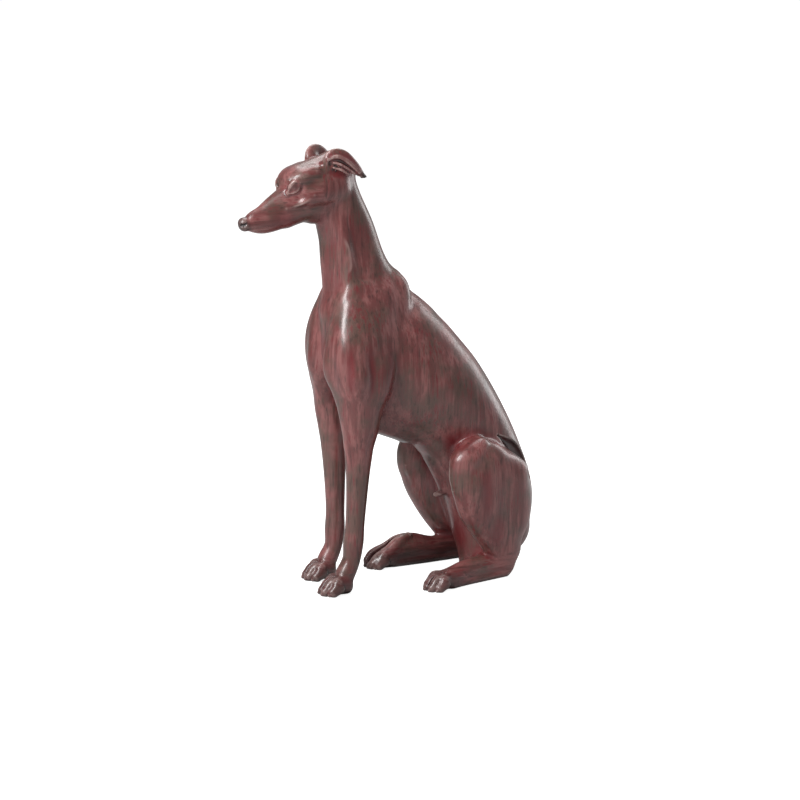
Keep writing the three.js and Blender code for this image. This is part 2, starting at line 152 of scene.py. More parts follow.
def massDistance(mass, points):
    # Planes square to the path part it into stretches, and t runs from 0 to 1 between two of them.
    # Across a stretch u and v are divided by the half sizes a and b: k0 = |(u/a, v/b, w/c)|,
    # k1 = |(u/a^2, v/b^2, w/c^2)|, distance = k0 (k0 - 1) / k1, where w is how far the point lies
    # beyond an end of the path, and c the half size there. Planes far from all the points are left out.
    low, high = points.min(axis=0), points.max(axis=0)
    middle, radius = (low + high) / 2, np.linalg.norm(high - low) / 2
    height = ((middle - mass["centre"]) * mass["along"]).sum(axis=1)
    first = max(int(np.argmax(height <= radius)) - 1, 0) if (height <= radius).any() else len(height) - 2
    last = len(height) - 1 - int(np.argmax(height[::-1] >= -radius)) if (height >= -radius).any() else 0
    part = slice(first, max(last + 2, first + 2))
    centre, half = mass["centre"][part], mass["half"][part]
    g, u, v = (points @ mass[name][part].T - (centre * mass[name][part]).sum(axis=1)
               for name in ("along", "across", "deep"))
    rows, k = np.arange(len(points)), (g[:, 1:-1] >= 0).sum(axis=1)
    g0, g1 = g[rows, k], g[rows, k + 1]
    t = np.clip(g0 / np.maximum(g0 - g1, 1e-6), 0, 1)
    w = np.where(t <= 0, np.minimum(g0, 0), 0) + np.where(t >= 1, np.maximum(g1, 0), 0)
    u = u[rows, k] * (1 - t) + u[rows, k + 1] * t
    v = v[rows, k] * (1 - t) + v[rows, k + 1] * t
    a, b = half[k].T * (1 - t) + half[k + 1].T * t
    c = np.minimum(a, b) * mass["end"]
    k0 = np.sqrt((u / a) ** 2 + (v / b) ** 2 + (w / c) ** 2)
    k1 = np.sqrt((u / a**2) ** 2 + (v / b**2) ** 2 + (w / c**2) ** 2) + 1e-9
    return k0 * (k0 - 1) / k1


def blendOf(a, b, width):
    # the smaller of a and b, rounded where they are closer than width
    h = np.maximum(width - np.abs(a - b), 0) / width
    return np.minimum(a, b) - h * h * width / 4


def fieldAt(masses, points):
    # distance to the skin, below nought inside: masses are joined in order, and cuts are taken off
    field = np.full(len(points), figure["far"])
    low, high = points.min(axis=0), points.max(axis=0)
    for mass in masses:
        pad = mass["blend"] + 6
        if (mass["low"] - pad > high).any() or (mass["high"] + pad < low).any():
            continue
        distance = massDistance(mass, points)
        if mass["cut"]:
            field = -blendOf(-field, distance, mass["blend"])
        else:
            field = blendOf(field, distance, mass["blend"])
    return -blendOf(-field, points[:, 2] - figure["soleLevel"], figure["soleEdge"])


def fieldOf(masses, points):
    # worked out in blocks of space, so that each block tries only the masses that come near it
    block = np.floor((points - points.min(axis=0)) / figure["block"]).astype(np.int64)
    key = (block[:, 0] * 1000 + block[:, 1]) * 1000 + block[:, 2]
    order = np.argsort(key, kind="stable")
    parts = np.split(order, np.flatnonzero(np.diff(key[order])) + 1)
    field = np.empty(len(points))

    def work(part):
        field[part] = fieldAt(masses, points[part])

    with ThreadPoolExecutor(4) as pool:
        list(pool.map(work, parts))
    return field


# corners of a tetrahedron, at which the field round a point is tried
corners = np.array([[1, 1, 1], [1, -1, -1], [-1, 1, -1], [-1, -1, 1]])


def slopeOf(masses, points, step=0.25):
    # direction in which the field grows
    return unit(sum(fieldOf(masses, points + step * c)[:, None] * c for c in corners))


def headPlace(ahead, up, side=0.0, origin=True):
    # from the head's own frame, side, ahead and up, to the drawing
    pitch, turn = np.radians(figure["headPitch"]), np.radians(figure["headTurn"])
    y = -ahead * np.cos(pitch) - up * np.sin(pitch)
    z = -ahead * np.sin(pitch) + up * np.cos(pitch)
    x = side * np.cos(turn) - y * np.sin(turn)
    y = side * np.sin(turn) + y * np.cos(turn)
    return np.array([x, y, z]) + (figure["headAt"] if origin else 0)


def addHead(masses, blend, stations, both=False, side=(1, 0, 0), **more):
    # stations are side, ahead, up and the half sizes, in the head's frame
    for flip in (1, -1) if both else (1,):
        placed = [tuple(headPlace(f, u, flip * s)) + (a, b) for s, f, u, a, b in stations]
        turned = headPlace(side[1], side[2], flip * side[0], origin=False)
        addMass(masses, blend, placed, side=turned, **more)


def buildTrunk(masses):
    addMass(masses, 8, [(0, 34, 222, 27, 38), (0, 52, 208, 36, 51.5), (0, 79, 183, 40, 53),
                        (0, 105, 161, 39, 47), (0, 130, 131, 34, 41), (0, 149, 97, 31, 38.5),
                        (0, 160.5, 66, 31, 37), (0, 162, 37, 31, 33)], end=0.95)
    # neck, throat, withers and breast
    addMass(masses, 10, [(0, 9, 354, 15, 19), (0, 13.3, 334, 16.5, 21), (0, 21.3, 308, 17.5, 24.7),
                         (0, 27.5, 280, 21.5, 28.6), (0, 36.5, 250, 25, 34.6)], end=0.8)
    addMass(masses, 9, [(0, 3.6, 326, 8, 8.5), (0, 11, 312, 10, 10)])
    addMass(masses, 10, [(0, 59, 264.5, 9, 8), (0, 72.5, 249.5, 9, 8), (0, 88, 231, 9, 9)])
    addMass(masses, 9, [(0, 15, 240, 17, 17), (0, 17, 212, 13, 15), (0, 20, 186, 10, 13),
                        (0, 28, 160, 10, 13), (0, 44, 147, 15, 12), (0, 74, 131.5, 16, 9.5)])
    # the long muscle down each side of the neck, and the hollow behind it
    addPair(masses, 7, [(7, 11, 330, 1.5, 2), (14.8, 13, 308, 3, 3.6), (18, 15.5, 288, 3.6, 4.6),
                        (19.2, 17, 272, 3.6, 4.8), (17.5, 17.5, 256, 2.5, 4)])
    addPair(masses, 8, [(24, 21, 322, 0.4, 2), (21.6, 25, 305, 1.4, 4), (23.8, 29, 288, 1.6, 5),
                        (27.5, 32.5, 271, 0.6, 4)], cut=True)


def buildShoulders(masses):
    # blade, its top, the upper arm, the breast muscle that runs in to the middle, and the collar above it
    addPair(masses, 14, [(12, 60, 256, 7, 11), (19, 49, 247, 9, 17), (25, 37.5, 235, 11, 20),
                         (29, 30, 218, 12, 19), (30, 26, 198, 9, 15), (29, 25, 178, 4, 9)])
    addPair(masses, 6, [(9, 60, 266, 6, 7), (13, 64, 260, 6.5, 7.5), (18, 61.5, 249, 6, 9),
                        (21, 57, 236, 4, 7), (18, 52, 224, 2, 4)])
    addPair(masses, 9, [(20, 30, 258, 4, 7), (25.5, 22.5, 242, 9, 14.5), (30, 16.6, 222, 13, 18),
                        (32, 14.8, 204, 14, 17.5), (32, 17.2, 184, 13, 16.5),
                        (30.5, 21, 166, 11, 13.5), (28.5, 21.5, 150, 9, 11), (27, 21, 136, 6, 8)])
    addPair(masses, 9, [(20, 22, 262, 3, 5), (20.5, 15, 248, 6.5, 9), (20, 10.5, 232, 10, 12),
                        (17.5, 8.3, 214, 11, 13.5), (17, 6, 196, 11, 13), (20, 10.9, 179, 10, 12),
                        (24, 14.5, 161, 8.5, 11), (25, 17.5, 146, 6.5, 9), (24, 20, 134, 3, 6)])
    addPair(masses, 8, [(15, 9.5, 246, 2, 3), (18, 12, 255, 2, 3), (20.5, 20, 261, 2, 3),
                        (21, 31, 264, 1.5, 2)])
    # back of the upper arm, and the long drop shape on its side
    addPair(masses, 7, [(28, 36, 220, 5, 7), (34.5, 34.5, 199, 10, 13.5), (34, 32, 178, 11.5, 13),
                        (31, 29.5, 160, 9, 10), (29, 26, 144, 8, 8.5)])
    addPair(masses, 3.5, [(30, 14.5, 238, 2, 2), (37.5, 14.5, 227, 2, 2.5), (42.8, 14.2, 210, 3, 4.8),
                        (45, 14.3, 193, 4.6, 7.4), (43.5, 15.3, 180, 3.8, 6.2), (37.5, 17, 168, 2, 3)])


def buildForelegs(masses):
    addMass(masses, 8, [(31, 19, 178, 10, 13), (29, 20.5, 152, 11.5, 14.5), (26.5, 20.5, 130, 10.5, 13),
                        (25, 20, 105, 9.5, 10.3), (24, 19, 80, 8.6, 8.8), (24, 17.5, 60, 8.3, 8.2),
                        (24, 16, 45, 8.6, 8.8), (24, 14, 30, 7.8, 7.8), (24, 8, 17, 8.5, 8.5)])
    addMass(masses, 8, [(-31, 19, 178, 10, 13), (-29, 20.5, 152, 11.5, 14.5), (-26.5, 20.5, 130, 10.5, 13),
                        (-25, 20, 105, 9.5, 10.3), (-24, 20, 80, 8.6, 8.8), (-24, 20, 60, 8.3, 8.2),
                        (-24, 19.5, 45, 8.6, 8.8), (-24, 18, 30, 7.8, 7.8), (-24, 12, 17, 8.5, 8.5)])
    buildPaw(masses, 24, 1.5, 0)
    buildPaw(masses, -24, 6.5, 0)


def buildPaw(masses, x, y, turn, rise=1.0):
    cosTurn, sinTurn = np.cos(np.radians(turn)), np.sin(np.radians(turn))
    side = (cosTurn, sinTurn, 0)

    def at(across, ahead, z, a, b):
        # the drawing's place and half sizes for a point of the paw, across it, ahead and up
        return (x + across * cosTurn + ahead * sinTurn, y + across * sinTurn - ahead * cosTurn,
                z * rise, a, b * rise)

    for across, tip, half in ((-8.2, 8, 4.2), (-3, 12.5, 4.6), (3, 12.5, 4.6), (8.2, 8, 4.2)):
        addMass(masses, 2.2, [at(0.6 * across, -7, 11, half, 5.5), at(0.85 * across, 1, 11.5, half, 6),
                              at(across, tip - 5, 9, half, 6.2), at(1.02 * across, tip, 5, 0.92 * half, 4.6)],
                side=side)
        # the knuckle, the nail and the nail's bed
        addMass(masses, 2, [at(0.92 * across, tip - 6, 13.2, half * 0.75, 2.6)], side=side)
        addMass(masses, 1.2, [at(1.06 * across, tip + 2, 5, 1.8, 2.2),
                              at(1.08 * across, tip + 4, 3.2, 1.2, 1.5)], side=side)
    for across in (-5.7, 0, 5.7):
        tip = 13.5 if across == 0 else 10.5
        addMass(masses, 1.2, [at(0.7 * across, -1, 17.2, 0.3, 0.8),
                              at(0.9 * across, tip - 7, 14.6, 0.35, 1.2), at(across, tip - 1, 9.5, 0.4, 1.3),
                              at(1.05 * across, tip + 1.5, 3.5, 0.35, 1.2)], cut=True, side=side)
    addMass(masses, 3, [at(0, -6, 7, 8, 7), at(0, 2, 6.5, 8.5, 6)], side=side)


def buildHindlegs(masses):
    # near leg: thigh, buttock, knee, shank, its crest, sole and foot
    addMass(masses, 10, [(20, 158, 68, 20, 33.5), (32, 146, 78, 20, 38), (38, 134, 95, 18, 31.5),
                         (41.5, 127, 107, 15, 24), (43, 120, 115, 12, 18)])
    addMass(masses, 12, [(30, 160, 92, 12, 14), (34, 161, 72, 15, 18), (36, 159, 50, 14, 18),
                         (36, 157, 29, 10, 12)])
    addMass(masses, 14, [(45, 110, 110, 9, 11), (46, 110.5, 100, 10, 12.2), (47.5, 116.5, 84, 10.5, 14.8),
                         (45, 131, 56, 10, 15), (40, 145, 34, 9, 12), (36, 155, 18, 8.5, 9.5)])
    addMass(masses, 4, [(42, 108, 114, 2, 3), (45.5, 100.5, 105, 2.2, 3), (45, 100.5, 94, 2.4, 3),
                        (45, 105.5, 81, 2.2, 3), (44.5, 110.5, 68, 2.2, 3), (43.5, 118, 54, 2.2, 3),
                        (41.5, 128, 39, 2, 3), (39, 136, 27, 1.6, 2)])
    addMass(masses, 3, [(34.5, 153, 4.4, 8.5, 4.5), (43, 112, 4.4, 8.5, 4.5), (47, 96, 4.4, 9, 4.5)])
    addMass(masses, 4, [(35, 156.5, 12, 8, 10.5), (38, 134, 12, 8, 11.5), (42.5, 112, 11.5, 8.5, 10),
                        (47, 96, 10, 9.5, 8)])
    # far leg, with the crest on the inside of its shank
    addMass(masses, 12, [(-20, 158, 66, 20, 38), (-32, 144, 72, 22, 43), (-40, 124, 85, 17, 32),
                         (-44, 114, 96, 13, 20)])
    addMass(masses, 12, [(-45, 104, 112, 9.5, 10.5), (-47, 103.5, 98, 11, 12.5), (-48, 110, 78, 11.5, 13.8),
                         (-44, 120.5, 53, 10, 13), (-39, 133.5, 29, 8, 11), (-36, 146, 14, 8, 10)])
    addMass(masses, 4, [(-38.5, 96.5, 90, 1, 1.5), (-37.5, 98.5, 84, 2, 2.6), (-35.5, 103, 76, 2.2, 3),
                        (-33, 109.5, 63, 2, 3), (-31, 117, 48, 1.8, 2.5), (-29, 125, 33, 1, 1.5)])
    addMass(masses, 3, [(-35, 147, 4.4, 8.5, 4.5), (-33, 112, 4.4, 8.5, 4.5), (-33, 80, 4.4, 9, 4.5)])
    addMass(masses, 4, [(-35, 148, 12, 8, 12), (-34, 118, 12, 8.5, 11.5), (-33, 97, 15, 8.5, 14),
                        (-33, 84, 15, 9, 13.5), (-33, 72, 11, 10, 10)])
    buildPaw(masses, 48, 88, 13, rise=0.9)
    buildPaw(masses, -33, 70, 0)
    # two raised toes of the far paw run up to the instep, with a channel between them
    addMass(masses, 3, [(-29.5, 93, 28, 2.5, 3), (-28, 84, 24, 3, 4), (-27, 74, 16.5, 3.2, 4),
                        (-26.5, 65, 10.5, 3, 4), (-27, 58, 7, 2.5, 3)])
    addMass(masses, 3, [(-37, 80, 19, 3, 4), (-38, 69, 15.5, 3.5, 4), (-38, 61, 12.5, 3.5, 4),
                        (-36.5, 55.5, 8.5, 2.6, 3)])
    addMass(masses, 2, [(-32.5, 86, 29, 0.8, 1.5), (-32.5, 77, 23, 1.8, 3), (-32.5, 67, 17, 2.2, 3),
                        (-32, 58, 12, 1.8, 2.4), (-31.5, 53, 8, 0.8, 1)], cut=True)


def buildRump(masses):
    # the tail lies round the far side, then the groin, the sheath and the recess above each thigh
    addMass(masses, 6, [(0, 177, 36, 10, 10), (-8, 178, 18, 8, 8), (-24, 180, 8.5, 6.5, 6.5),
                        (-40, 174, 6, 5.5, 5.5), (-53, 162, 5, 4.6, 4.6), (-60, 150, 4.2, 3.8, 3.8)])
    addMass(masses, 9, [(0, 100, 118, 20, 10), (0, 114, 102, 23, 13), (0, 124, 82, 22, 13),
                        (0, 130, 60, 20, 12), (2, 134, 40, 20, 10), (8, 136, 24, 22, 9),
                        (12, 136, 10, 22, 8)])
    addMass(masses, 7, [(3, 101, 105, 6, 6), (3, 108, 91, 6, 6), (3, 112, 79, 5, 5)])
    addMass(masses, 2, [(-1, 105.5, 71, 1.6, 2.2), (2, 109.5, 73, 2, 2.4), (5, 114, 76, 1.8, 2.2)])
    addPair(masses, 1.5, [(35, 152, 125, 8, 1), (32, 160, 119, 11, 3.5), (30, 169, 112, 13, 6.5),
                          (27, 178, 102, 14, 9), (25, 187, 88, 14, 8), (23, 195, 74, 10, 3)], cut=True)
    # the groove down the side of the thigh
    addPair(masses, 4, [(61, 122, 104, 0.4, 1), (61, 126.5, 90, 1, 2), (60.5, 127.5, 75, 1.1, 2.2),
                        (57.5, 134.5, 56, 1, 2.2), (54, 143, 42, 0.4, 1.4)], cut=True)


def buildHead(masses):
    addHead(masses, 5, [(0, -14, 5, 16, 17), (0, 2, 5, 19, 18), (0, 18, 7, 17, 17.5)])
    addHead(masses, 6, [(0, 4, -10, 15, 14), (0, 24, -8, 13.5, 14.5), (0, 40, -6, 11, 14.5)])
    addHead(masses, 5, [(0, 12, -15, 10, 10), (0, 19, -19.5, 8, 8)])
    addHead(masses, 4, [(0, 30, -1.5, 12, 15.5), (0, 46, -3.8, 9.8, 15), (0, 60, -4.2, 8.2, 12.2),
                        (0, 71, -2.0, 6.8, 8.9), (0, 78, -0.8, 5.4, 5.4)])
    addHead(masses, 2.5, [(0, 78.6, 1.7, 4.5, 3.8)])
    addHead(masses, 9, [(6.5, 27, 17, 5.5, 4), (12.5, 20.5, 17.2, 5, 3.6), (14, 10, 16, 4, 4)], both=True)
    addHead(masses, 7, [(14, 22, -1, 4, 6), (16.5, 6, -2, 5, 9), (14, -8, -4, 6, 9)], both=True)
    # eye: the socket, the ball, then the upper and the lower lid
    addHead(masses, 5, [(16.5, 30.5, 11.5, 2.4, 4)], both=True, cut=True)
    addHead(masses, 0.6, [(10.6, 29.4, 12.4, 4.6, 4.6)], both=True)
    addHead(masses, 2.6, [(9.2, 35.8, 9.4, 0.7, 0.8), (12.0, 33.8, 13.8, 1.0, 1.2),
                          (14.0, 30, 16.2, 1.2, 1.3), (14.8, 25.4, 14.6, 0.8, 0.9)], both=True)
    addHead(masses, 2.6, [(9.2, 35.8, 9.4, 0.7, 0.8), (12.0, 32.6, 8.2, 0.8, 0.9),
                          (14.0, 28.4, 9.4, 0.8, 0.9), (14.8, 25.4, 14.6, 0.7, 0.7)], both=True)
    # cheekbone, mouth line, nostrils
    addHead(masses, 3, [(9.5, 42, -1.5, 1.6, 1.6), (12.2, 33, -2.6, 2.2, 1.9), (14.8, 27, -2, 2.4, 2),
                        (17, 19, 0, 2, 2)], both=True)
    addHead(masses, 1.4, [(3.6, 79, -4.2, 0.5, 0.6), (6.4, 72, -7.0, 0.6, 0.7), (7.9, 61, -10.4, 0.6, 0.8),
                          (9.8, 47, -13.0, 0.5, 0.7), (13.5, 38, -12.4, 0.4, 0.5)], both=True, cut=True)
    addHead(masses, 1.0, [(2.6, 82.2, 1.2, 0.8, 0.9), (4.6, 80.2, 0.6, 1.0, 1.1), (5.6, 77.8, 1.4, 0.5, 0.6)],
            both=True, cut=True)


def buildEars(masses):
    # the flap, folded back; the opening in its outer face; a rim over the opening; ridges inside it
    addHead(masses, 3, [(13, -3, 14, 5, 7), (17.5, -9, 20, 3.6, 7.6), (20.5, -14.5, 17.6, 3.6, 7.6),
                        (21.5, -19, 9.6, 3.4, 7), (21, -23.5, 0.6, 3, 5.4), (20.5, -27.5, -6, 2.4, 3)],
            both=True)
    addHead(masses, 1.6, [(20, -4, 17, 2, 3), (23.6, -9.5, 15.5, 3, 4.6), (25.4, -14, 10, 3, 4.8),
                          (25, -18.5, 3, 2.6, 4), (23.6, -22.5, -3, 1.6, 2)], both=True, cut=True)
    addHead(masses, 1.4, [(18.5, -4.5, 22, 1.2, 1.4), (22.2, -10.8, 21.4, 1.3, 1.5),
                          (23.9, -16, 16.4, 1.3, 1.5), (24, -20.4, 8.6, 1.2, 1.4), (23, -24.5, 0.6, 1, 1.2)],
            both=True)
    addHead(masses, 1.2, [(19.5, -7.5, 17, 0.9, 1), (22.4, -12, 13.2, 0.9, 1), (23, -17, 6.6, 0.8, 0.9),
                          (22.6, -21, 0.6, 0.6, 0.7)], both=True)
    addHead(masses, 1.2, [(19.5, -6, 13, 0.8, 0.9), (22, -10, 9.6, 0.9, 1), (22.8, -14.6, 3.6, 0.7, 0.8)],
            both=True)


def findSkin(masses):
    # the field on a lattice: everywhere on a coarse one, and on the fine one only near the skin
    cell, coarse = figure["cell"], figure["coarse"]
    low = np.min([m["low"] for m in masses], axis=0) - figure["margin"]
    high = np.max([m["high"] for m in masses], axis=0) + figure["margin"]
    low[2] = figure["soleLevel"] - figure["below"]
    counts = np.ceil((high - low) / (cell * coarse)).astype(int) + 1
    axes = [low[i] + cell * coarse * np.arange(counts[i]) for i in range(3)]
    rough = fieldOf(masses, np.stack(np.meshgrid(*axes, indexing="ij"), -1).reshape(-1, 3)).reshape(counts)
    fine = (counts - 1) * coarse + 1
    nearest = [np.rint(np.arange(n) / coarse).astype(int) for n in fine]
    field = rough[np.ix_(*nearest)].astype(np.float32)
    close = np.nonzero(np.abs(field) < figure["band"])
    field[close] = fieldOf(masses, low + cell * np.stack(close, -1))
    print("lattice", fine.tolist(), "points near the skin", len(close[0]))
    return field, low


def drawSkin(field, low, cell):
    # surface nets: one point in each cell that the skin passes, the mean of its crossings on the edges,
    # and one four-sided face round each lattice edge that the skin crosses
    inside = field < 0
    cellCorners = [(i, j, k) for i in (0, 1) for j in (0, 1) for k in (0, 1)]
    nx, ny, nz = field.shape
    parts = [inside[i:nx - 1 + i, j:ny - 1 + j, k:nz - 1 + k] for i, j, k in cellCorners]
    crossed = np.logical_or.reduce(parts) & ~np.logical_and.reduce(parts)
    cells = np.nonzero(crossed)
    index = np.full(crossed.shape, -1)
    index[cells] = np.arange(len(cells[0]))
    total, times = np.zeros((len(cells[0]), 3)), np.zeros((len(cells[0]), 1))
    for corner in cellCorners:
        for axis in range(3):
            if corner[axis]:
                continue
            other = [c + (n == axis) for n, c in enumerate(corner)]
            f0 = field[tuple(cells[n] + corner[n] for n in range(3))]
            f1 = field[tuple(cells[n] + other[n] for n in range(3))]
            hit = (f0 < 0) != (f1 < 0)
            place = np.tile(np.array(corner, float), (hit.sum(), 1))
            place[:, axis] += f0[hit] / (f0[hit] - f1[hit])
            total[hit] += place
            times[hit] += 1
    points = low + cell * (np.stack(cells, -1) + total / times)
    faces = []
    for axis in range(3):
        u, v = [n for n in range(3) if n != axis]
        start, stop = [slice(None)] * 3, [slice(None)] * 3
        start[axis], stop[axis] = slice(0, -1), slice(1, None)
        edge = np.stack(np.nonzero(inside[tuple(start)] != inside[tuple(stop)]), -1)
        stepU, stepV = np.eye(3, dtype=int)[u], np.eye(3, dtype=int)[v]
        ring = [index[tuple((edge - a * stepU - b * stepV).T)] for a, b in ((1, 1), (0, 1), (0, 0), (1, 0))]
        quad = np.stack(ring, -1)
        outward = inside[tuple(edge.T)] if axis != 1 else ~inside[tuple(edge.T)]
        quad[~outward] = quad[~outward][:, ::-1]
        faces.append(quad)
    return points, np.vstack(faces)


def settle(masses, points):
    # each point moves along the slope to the skin
    distance = np.clip(fieldOf(masses, points), -figure["settleStep"], figure["settleStep"])
    return points - slopeOf(masses, points) * distance[:, None]


def meshFrom(name, points, faces):
    mesh = bpy.data.meshes.new(name)
    mesh.from_pydata(points.tolist(), [], faces.tolist())
    mesh.validate()
    return mesh


def thinned(mesh, triangles):
    # the same shape with fewer triangles, small ones kept where it curves most
    thing = bpy.data.objects.new("thinning", mesh)
    bpy.context.scene.collection.objects.link(thing)
    total = sum(len(p.vertices) - 2 for p in mesh.polygons)
    thing.modifiers.new("thin", "DECIMATE").ratio = min(1.0, triangles / total)
    depsgraph = bpy.context.evaluated_depsgraph_get()
    result = bpy.data.meshes.new_from_object(thing.evaluated_get(depsgraph))
    bpy.data.objects.remove(thing)
    return result


def coordinates(mesh):
    flat = np.empty(len(mesh.vertices) * 3)
    mesh.vertices.foreach_get("co", flat)
    return flat.reshape(-1, 3)


def storeMask(mesh, name, values):
    mask = mesh.attributes.new(name, "FLOAT", "POINT")
    mask.data.foreach_set("value", np.clip(values, 0, 1).astype(np.float32))


def near(points, centre, radii):
    # a spot with a flat middle and a soft edge: exp(-0.7 r^4), where r is 1 at the radii
    return np.exp(-0.7 * (((points - centre) / radii) ** 2).sum(axis=1) ** 2)


def bendOf(masses, points, step):
    # how much the skin bends, per millimetre: above nought on ridges, below nought in hollows
    around = sum(fieldOf(masses, points + step * c) for c in corners) / 4
    return (around - fieldOf(masses, points)) / (step**2 / 2)


# Places that are painted darker or redder: centre and radii, in the drawing. Centres on the head
# are ahead, up and to both sides, in its own frame. Dim places darken dimWeight times as much as dark ones.
tint = {
    "dark": {
        # dark, on the body: near black in the recess above each thigh, and painted shade under the forepaws
        # and the hind feet
        "body": [((30, 168, 112), (15, 10, 10)), ((26, 180, 100), (16, 13, 13)),
                 ((-30, 168, 112), (15, 10, 10)), ((-26, 180, 100), (16, 13, 13)),
                 ((24, 8, -3), (14, 22, 7)), ((-24, 10, -3), (14, 22, 7)),
                 ((44, 120, -4), (16, 60, 8)), ((-34, 110, -4), (16, 60, 9))],
        # dark, on the head: the ear tips and the nose, dark in their own lacquer
        "head": [((-28, -6, 20.5), (6, 6, 6)), ((80, 0, 0), (6, 6, 6))],
    },
    "dim": {
        # dim, on the body: painted shade on the paws and under the chest
        "body": [((24, 0, 6), (15, 18, 13)), ((-24, 5, 6), (15, 18, 13)), ((50, 86, 5), (18, 18, 12)),
                 ((-33, 72, 6), (16, 24, 14)), ((-34, 110, 6), (13, 40, 12)), ((0, 60, 126), (14, 30, 8))],
        # dim, on the head: the eyes, darker in their own colour
        "head": [((30, 12.4, 12.5), (3.4, 3.4, 2.6))],
    },
    "red": {
        "body": [((58, 127, 82), (5, 5, 20)), ((53, 140, 48), (6, 6, 16)), ((30, 106, 126), (16, 7, 8)),
                 ((6, -40, 322), (14, 12, 7)), ((10, 118, 34), (22, 12, 20)), ((30, 4, 13), (8, 7, 5)),
                 ((42, 44, 180), (6, 4, 30)), ((44, 6, 196), (4, 3.5, 18)), ((45, 24, 196), (5, 3.5, 18))],
        "head": [((-12, 14, 23), (5, 9, 9)), ((-19, 5, 23), (5, 9, 9))],
    },
    "dimWeight": 0.7,
    "hollowSteps": {"Fine": 0.8, "Wide": 3.2},  # sizes of the hollows that are marked
    "ridgeStep": 0.8,
}

# The brush runs lengthwise on the feet and the head, and up the body elsewhere
grain = {
    "feetBelow": 30,
    "feetBeside": 8,  # from the middle of the body
    "headAbove": 300,
    "headBefore": -8,
    "fade": 12,
    "sideFade": 6,
}


def spotMask(points, kind):
    head = [(headPlace(ahead, up, flip * side), radii)
            for (ahead, up, side), radii in tint[kind]["head"] for flip in ((1, -1) if side else (1,))]
    return sum(near(points, *spot) for spot in tint[kind]["body"] + head)


def lengthwiseMask(points):
    x, y, z = points.T
    feet = np.clip((grain["feetBelow"] - z) / grain["fade"], 0, 1)
    feet = feet * np.clip((abs(x) - grain["feetBeside"]) / grain["sideFade"], 0, 1)
    head = np.clip((z - grain["headAbove"]) / grain["fade"], 0, 1) * (y < grain["headBefore"])
    return np.maximum(feet, head)


def makeBody():
    masses = []
    for build in (buildTrunk, buildShoulders, buildForelegs, buildHindlegs, buildRump, buildHead, buildEars):
        build(masses)
    field, low = findSkin(masses)
    points, faces = drawSkin(field, low, figure["cell"])
    points = settle(masses, points)
    print("skin drawn", len(points), "points")
    mesh = thinned(meshFrom("greyhoundBody", points, faces), figure["triangles"])
    points = settle(masses, coordinates(mesh))
    floor = figure["soleLevel"]
    points[:, 2] = np.where(points[:, 2] < floor + figure["soleSnap"], floor, points[:, 2])
    slope = slopeOf(masses, points)
    # the fine hollows carry near black, patina together with painted shade; the wide ones carry the red
    # lacquer
    for name, step in tint["hollowSteps"].items():
        storeMask(mesh, "hollow" + name, -bendOf(masses, points, step))
    # the ridges carry a pale colour: rubbed lacquer together with painted highlight
    storeMask(mesh, "ridge", bendOf(masses, points, tint["ridgeStep"]))
    storeMask(mesh, "redSpot", spotMask(points, "red"))
    # darkSpot: painted shade on and under the paws and feet and under the chest, near black in the recess
    # above each thigh, and the dark ear tips, nose and eyes
    dimmed = tint["dimWeight"] * np.minimum(spotMask(points, "dim"), 1)
    storeMask(mesh, "darkSpot", spotMask(points, "dark") + dimmed)
    storeMask(mesh, "lengthwise", lengthwiseMask(points))
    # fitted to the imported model: its height, and the middle of its foot
    size = points.max(axis=0) - points.min(axis=0)
    scale = (cadHigh.z - cadLow.z) / size[2]
    middle = (points.max(axis=0) + points.min(axis=0)) / 2
    middle[2] = points[:, 2].min()
    foot = np.array([(cadLow.x + cadHigh.x) / 2, (cadLow.y + cadHigh.y) / 2, cadLow.z])
    placed = (points - middle) * scale + foot
    mesh.vertices.foreach_set("co", placed.ravel())
    mesh.shade_smooth()
    mesh.update()
    mesh.normals_split_custom_set_from_vertices(slope.tolist())
    body = bpy.data.objects.new("lacqueredBody", mesh)
    bpy.context.scene.collection.objects.link(body)
    print("body thinned to", len(mesh.polygons), "faces, scale", round(scale, 7),
          "size", size.round(2).tolist())
    return body


body = makeBody()
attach(body, "root")
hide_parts("greyhound")


